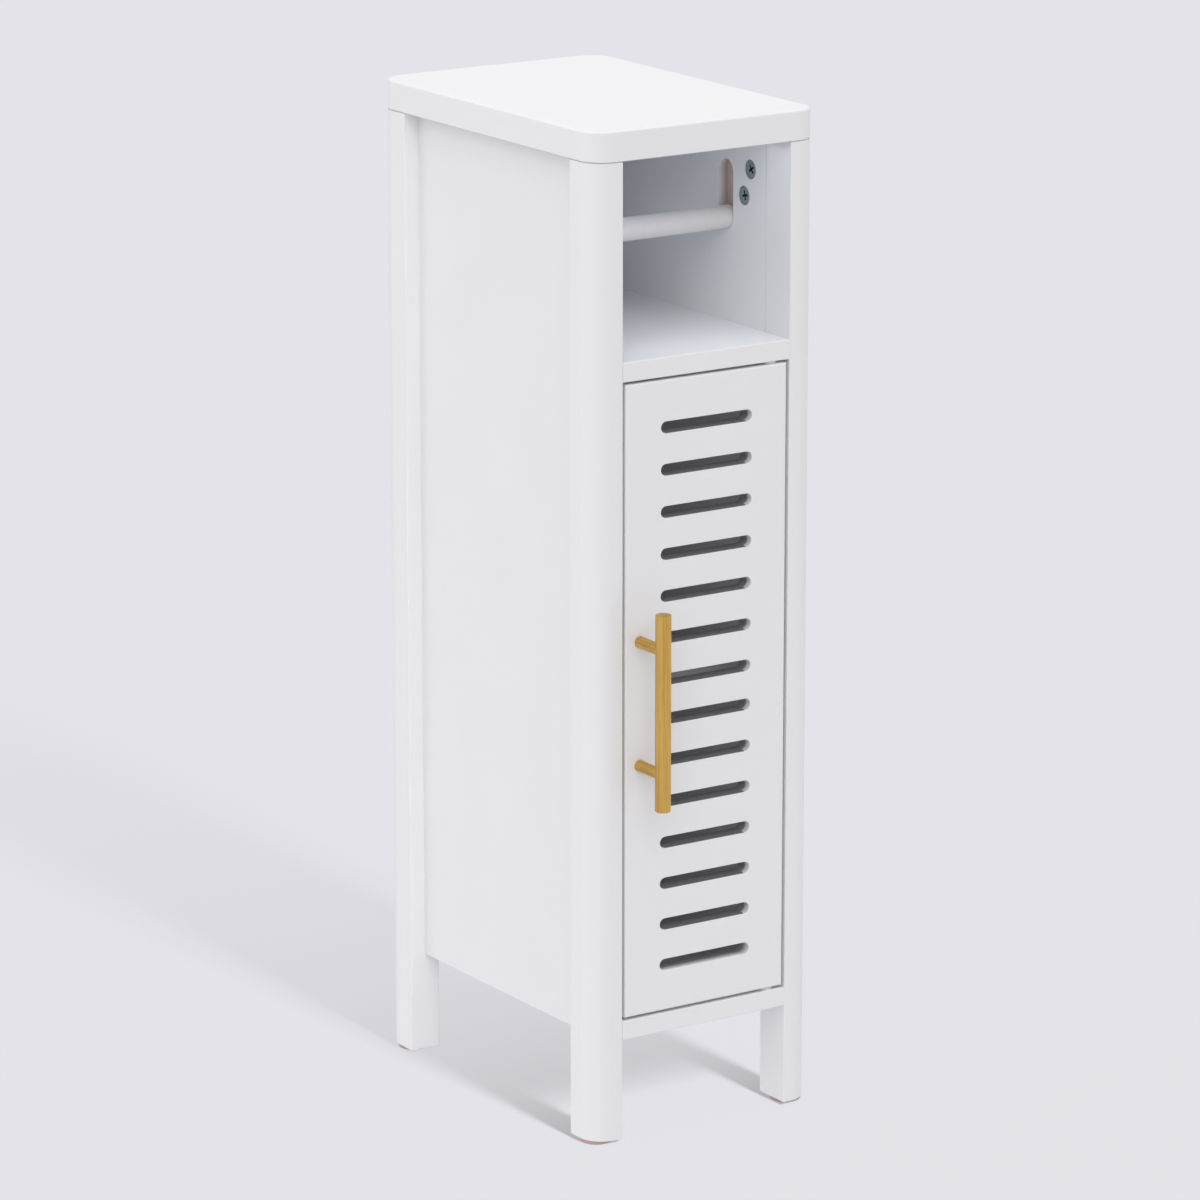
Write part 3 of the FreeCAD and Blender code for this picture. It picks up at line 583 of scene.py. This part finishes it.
for side in (1, -1):
    for number, (x, y, z) in enumerate(panelPlaces + boardPlaces):
        face = (-side, 0, 0) if number < len(panelPlaces) else (0, 0, -1)
        spin = camLook["spins"][number] + (0 if side > 0 else camLook["leftTurn"])
        grids += crossedFastener(camLook, (side * x, y, z), face, (0, 1, 0), spin)
buildPiece("camLocks", grids, small["diecastZinc"], "cabinet", ["cam_locks"])

# Screws: domed heads on the handle and the catch, a flush one in the strike plate
plainHead = {"groove": 0.0, "grooveAt": 0.9, "sunk": 0.0}
handleScrew = {
    **plainHead, "radius": 4.0 * mm, "dome": 1.2 * mm,
    "crossSpan": 4.2 * mm, "crossWidth": 1.0 * mm, "crossDepth": 1.5 * mm, "taper": 0.2 * mm,
    "sides": [(4.0 * mm, 2.5 * mm), (2.0 * mm, 2.5 * mm), (2.0 * mm, 27.5 * mm), (0.0, 27.5 * mm)],
    "spins": (0.3, 1.1),
}
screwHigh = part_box("handle_screws")[1]
grids = []
for node, spin in zip(("handle_post_upper", "handle_post_lower"), handleScrew["spins"]):
    place = (middle(node).x, screwHigh.y, middle(node).z)
    grids += crossedFastener(handleScrew, place, (0, 1, 0), (1, 0, 0), spin)
buildPiece("handleScrews", grids, small["zincPlatedSteel"], "door", ["handle_screws"])
catchScrew = {
    **plainHead, "radius": 2.8 * mm, "dome": 0.9 * mm,
    "crossSpan": 3.2 * mm, "crossWidth": 0.8 * mm, "crossDepth": 1.1 * mm, "taper": 0.15 * mm,
    "sides": [(2.8 * mm, 1.6 * mm), (1.5 * mm, 1.6 * mm), (1.5 * mm, 28.6 * mm), (0.0, 28.6 * mm)],
    "spins": (0.5, 1.3),
}
screwLow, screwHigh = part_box("catch_screws")
screwPlaces = (screwLow.x + catchScrew["radius"], screwHigh.x - catchScrew["radius"])
grids = []
for x, spin in zip(screwPlaces, catchScrew["spins"]):
    place = (x, middle("catch_screws").y, screwLow.z)
    grids += crossedFastener(catchScrew, place, (0, 0, -1), (1, 0, 0), spin)
buildPiece("catchScrews", grids, small["zincPlatedSteel"], "cabinet", ["catch_screws"])
strikeScrew = {
    **plainHead, "radius": 2.8 * mm, "dome": 0.0,
    "crossSpan": 3.2 * mm, "crossWidth": 0.8 * mm, "crossDepth": 0.9 * mm, "taper": 0.15 * mm,
    "sides": [(2.8 * mm, 0.2 * mm), (1.5 * mm, 1.2 * mm), (1.5 * mm, 10.2 * mm), (0.0, 10.2 * mm)],
    "spin": 0.4,
}
place = (middle("strike_screw").x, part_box("strike_screw")[1].y, middle("strike_screw").z)
grids = crossedFastener(strikeScrew, place, (0, 1, 0), (1, 0, 0), strikeScrew["spin"])
buildPiece("strikeScrew", grids, small["zincPlatedSteel"], "door", ["strike_screw"])

# Studio: a pale lit floor, a soft sky, and lamps for the cabinet's faces, its niche and its floor shadow
studio = {
    "backdropColour": "#e4e3e9",
    "floorSize": 40.0,
    "skyLight": (0.24, 0.0, 1.28),    # towards the left, the front and the zenith
    "shadowDepth": 0.048,             # what the shadow takes from the floor, divided by the reach
    "shadowReach": 0.24,              # the reach at the middle of the cabinet; it grows towards the back
    "nearestReach": 0.12,             # in front of the cabinet it stays here, after an easy bend
    "bend": 0.1,
    "paper": 0.15,                    # share of that light which the paper turns back from any direction
    "litPaper": 1.464,                # what that adds up to out of the shadow; the floor's glow is less by it
}
# suns: the shadow lamps only light the floor, the rear lamp only the rear legs
lamps = {
    "keyLamp": {"azimuth": -30.0, "elevation": 35.0, "angle": 45.0, "power": 0.75, "colour": "#fffefc",
                "lights": "cabinet"},
    "leftLamp": {"azimuth": -125.0, "elevation": 15.0, "angle": 50.0, "power": 0.50, "colour": "#ffffff",
                 "lights": "cabinet"},
    "rightLamp": {"azimuth": 85.0, "elevation": 15.0, "angle": 60.0, "power": 0.45, "colour": "#ffffff",
                  "lights": "cabinet"},
    "shadowLow": {"azimuth": 0.0, "elevation": 30.5, "angle": 7.0, "power": 17.4, "colour": "#e4e3e9",
                  "lights": "floor"},
    "shadowMiddle": {"azimuth": 0.0, "elevation": 35.5, "angle": 7.0, "power": 15.2, "colour": "#e4e3e9",
                     "lights": "floor"},
    "shadowHigh": {"azimuth": 0.0, "elevation": 41.0, "angle": 7.0, "power": 13.45, "colour": "#e4e3e9",
                   "lights": "floor"},
    "rearLamp": {"azimuth": -8.0, "elevation": 12.0, "angle": 10.0, "power": 0.24, "colour": "#ffffff",
                 "lights": "rearLegs"},
}
# small panels that lift the shade behind the openings, out of sight
hiddenLamps = {
    "nicheLamp": {"place": Vector((-62, -10, 690)) * mm, "aim": (1.0, 0.0, -0.7), "wide": 160 * mm,
                  "high": 80 * mm, "power": 0.030, "colour": "#e4eeff", "lights": "cabinet"},
    "shelfLamp": {"place": Vector((0, -112, 752)) * mm, "aim": (0.0, 0.0, -1.0), "wide": 140 * mm,
                  "high": 30 * mm, "power": 0.008, "colour": "#dfeaff", "lights": "cabinet"},
    "lowLamp": {"place": Vector((0, -110, 660)) * mm, "aim": (0.0, 0.0, -1.0), "wide": 140 * mm,
                "high": 30 * mm, "power": 0.009, "colour": "#dfeaff", "lights": "shelf"},
    "innerLamp": {"place": Vector((0, -80, 400)) * mm, "aim": (0.0, 0.0, -1.0), "wide": 120 * mm,
                  "high": 40 * mm, "power": 0.002, "colour": "#ffffff", "lights": "innerShelf"},
    "reserveLamp": {"place": Vector((0, -100, 345)) * mm, "aim": (0.0, 1.0, 0.0), "wide": 100 * mm,
                    "high": 440 * mm, "power": 0.027, "colour": "#ffffff", "lights": "cabinet"},
}

half = studio["floorSize"] / 2
corners = [(-half, -half, 0), (half, -half, 0), (half, half, 0), (-half, half, 0)]
floorMesh = bpy.data.meshes.new("floor")
floorMesh.from_pydata(corners, [], [(0, 1, 2, 3)])
floor = bpy.data.objects.new("floor", floorMesh)
bpy.context.scene.collection.objects.link(floor)
material, tree, coords = newMaterial("mattPaperFloor")
# pale paper, evenly lit; the shadow is deepest at the front feet and thins out towards the back
place = addNode(tree, "ShaderNodeSeparateXYZ", {"Vector": coords}).outputs
reach = addNode(tree, "ShaderNodeMath", {0: place["Y"], 1: studio["shadowReach"]}, operation="ADD")
reach = addNode(tree, "ShaderNodeMath", {
    0: reach, 1: studio["nearestReach"], 2: studio["bend"],
}, operation="SMOOTH_MAX")
share = addNode(tree, "ShaderNodeMath", {0: studio["shadowDepth"], 1: reach}, operation="DIVIDE")
albedo = addNode(tree, "ShaderNodeMath", {0: share, 1: studio["paper"]}, operation="MULTIPLY")
paper = addNode(tree, "ShaderNodeBsdfDiffuse", {"Color": albedo})
level = addNode(tree, "ShaderNodeMath", {0: share, 1: -studio["litPaper"], 2: 1.0}, operation="MULTIPLY_ADD")
backdropColour = linearColour(studio["backdropColour"])
glow = addNode(tree, "ShaderNodeEmission", {"Color": backdropColour, "Strength": level})
both = addNode(tree, "ShaderNodeAddShader", {0: paper, 1: glow})
addNode(tree, "ShaderNodeOutputMaterial", {"Surface": both})
floorMesh.materials.append(material)

# what each lamp lights
groups = {
    "cabinet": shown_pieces(),
    "rearLegs": [nodes["rear_left_leg"], nodes["rear_right_leg"]],
    "shelf": [nodes["dividing_shelf"]],
    "innerShelf": [nodes["inner_shelf"]],
    "floor": [floor],
}
lit = {name: bpy.data.collections.new(name) for name in groups}
for name, members in groups.items():
    for member in members:
        lit[name].objects.link(member)

# the sky lights the cabinet; the camera and the gloss see a plain backdrop
world = bpy.data.worlds.new("softStudio")
bpy.context.scene.world = world
world.use_nodes = True
tree = world.node_tree
tree.nodes.clear()
direction = addNode(tree, "ShaderNodeTexCoord").outputs["Generated"]
turned = addNode(tree, "ShaderNodeVectorMath", {0: direction, 1: (-1, -1, 1)}, operation="MULTIPLY")
facing = addNode(tree, "ShaderNodeVectorMath", {0: turned, 1: (0, 0, 0)}, operation="MAXIMUM")
level = addNode(tree, "ShaderNodeVectorMath", {0: facing, 1: studio["skyLight"]}, operation="DOT_PRODUCT")
sky = addNode(tree, "ShaderNodeBackground", {"Color": (1, 1, 1, 1), "Strength": level})
backdrop = addNode(tree, "ShaderNodeBackground", {"Color": backdropColour})
path = addNode(tree, "ShaderNodeLightPath").outputs
seen = path["Is Camera Ray"]
for ray in ("Is Glossy Ray", "Is Transmission Ray"):
    seen = addNode(tree, "ShaderNodeMath", {0: seen, 1: path[ray]}, operation="MAXIMUM")
shown = addNode(tree, "ShaderNodeMixShader", {"Fac": seen, 1: sky, 2: backdrop})
addNode(tree, "ShaderNodeOutputWorld", {"Surface": shown})


def towards(azimuth, elevation):
    # unit vector to a place on the sky, azimuth 0 in front of the cabinet
    turn, rise = math.radians(azimuth), math.radians(elevation)
    return Vector((math.sin(turn) * math.cos(rise), -math.cos(turn) * math.cos(rise), math.sin(rise)))


def hangLamp(name, kind, lamp, facing):
    light = bpy.data.lights.new(name, kind)
    light.energy = lamp["power"]
    light.color = linearColour(lamp["colour"])[:3]
    hung = bpy.data.objects.new(name, light)
    hung.rotation_mode = "QUATERNION"
    hung.rotation_quaternion = facing
    hung.light_linking.receiver_collection = lit[lamp["lights"]]
    hung.visible_glossy = False       # gloss shows the pale backdrop, and no glare on the white top
    bpy.context.scene.collection.objects.link(hung)
    return hung


for name, lamp in lamps.items():
    sun = hangLamp(name, "SUN", lamp, towards(lamp["azimuth"], lamp["elevation"]).to_track_quat("Z", "Y"))
    sun.data.angle = math.radians(lamp["angle"])
for name, lamp in hiddenLamps.items():
    panel = hangLamp(name, "AREA", lamp, Vector(lamp["aim"]).to_track_quat("-Z", "Y"))
    panel.location = lamp["place"]
    panel.visible_camera = False
    panel.data.shape = "RECTANGLE"
    panel.data.size = lamp["wide"]
    panel.data.size_y = lamp["high"]
print("studio lit")

# Camera at the photograph's angle
view = {
    "aim": Vector((3.7, 18.75, 383.0)) * mm,
    "azimuth": -33.45,
    "elevation": 14.63,
    "distance": 4.533,
    "lens": 176.0,
    "sensor": 36.0,
}
camera = bpy.data.objects.new("camera", bpy.data.cameras.new("camera"))
camera.data.lens = view["lens"]
camera.data.sensor_width = view["sensor"]
camera.data.clip_end = 2 * studio["floorSize"]
back = towards(view["azimuth"], view["elevation"])
camera.location = view["aim"] + back * view["distance"]
camera.rotation_mode = "QUATERNION"
camera.rotation_quaternion = back.to_track_quat("Z", "Y")
bpy.context.scene.collection.objects.link(camera)
bpy.context.scene.camera = camera
bpy.context.scene.view_settings.view_transform = "Standard"

print("done")
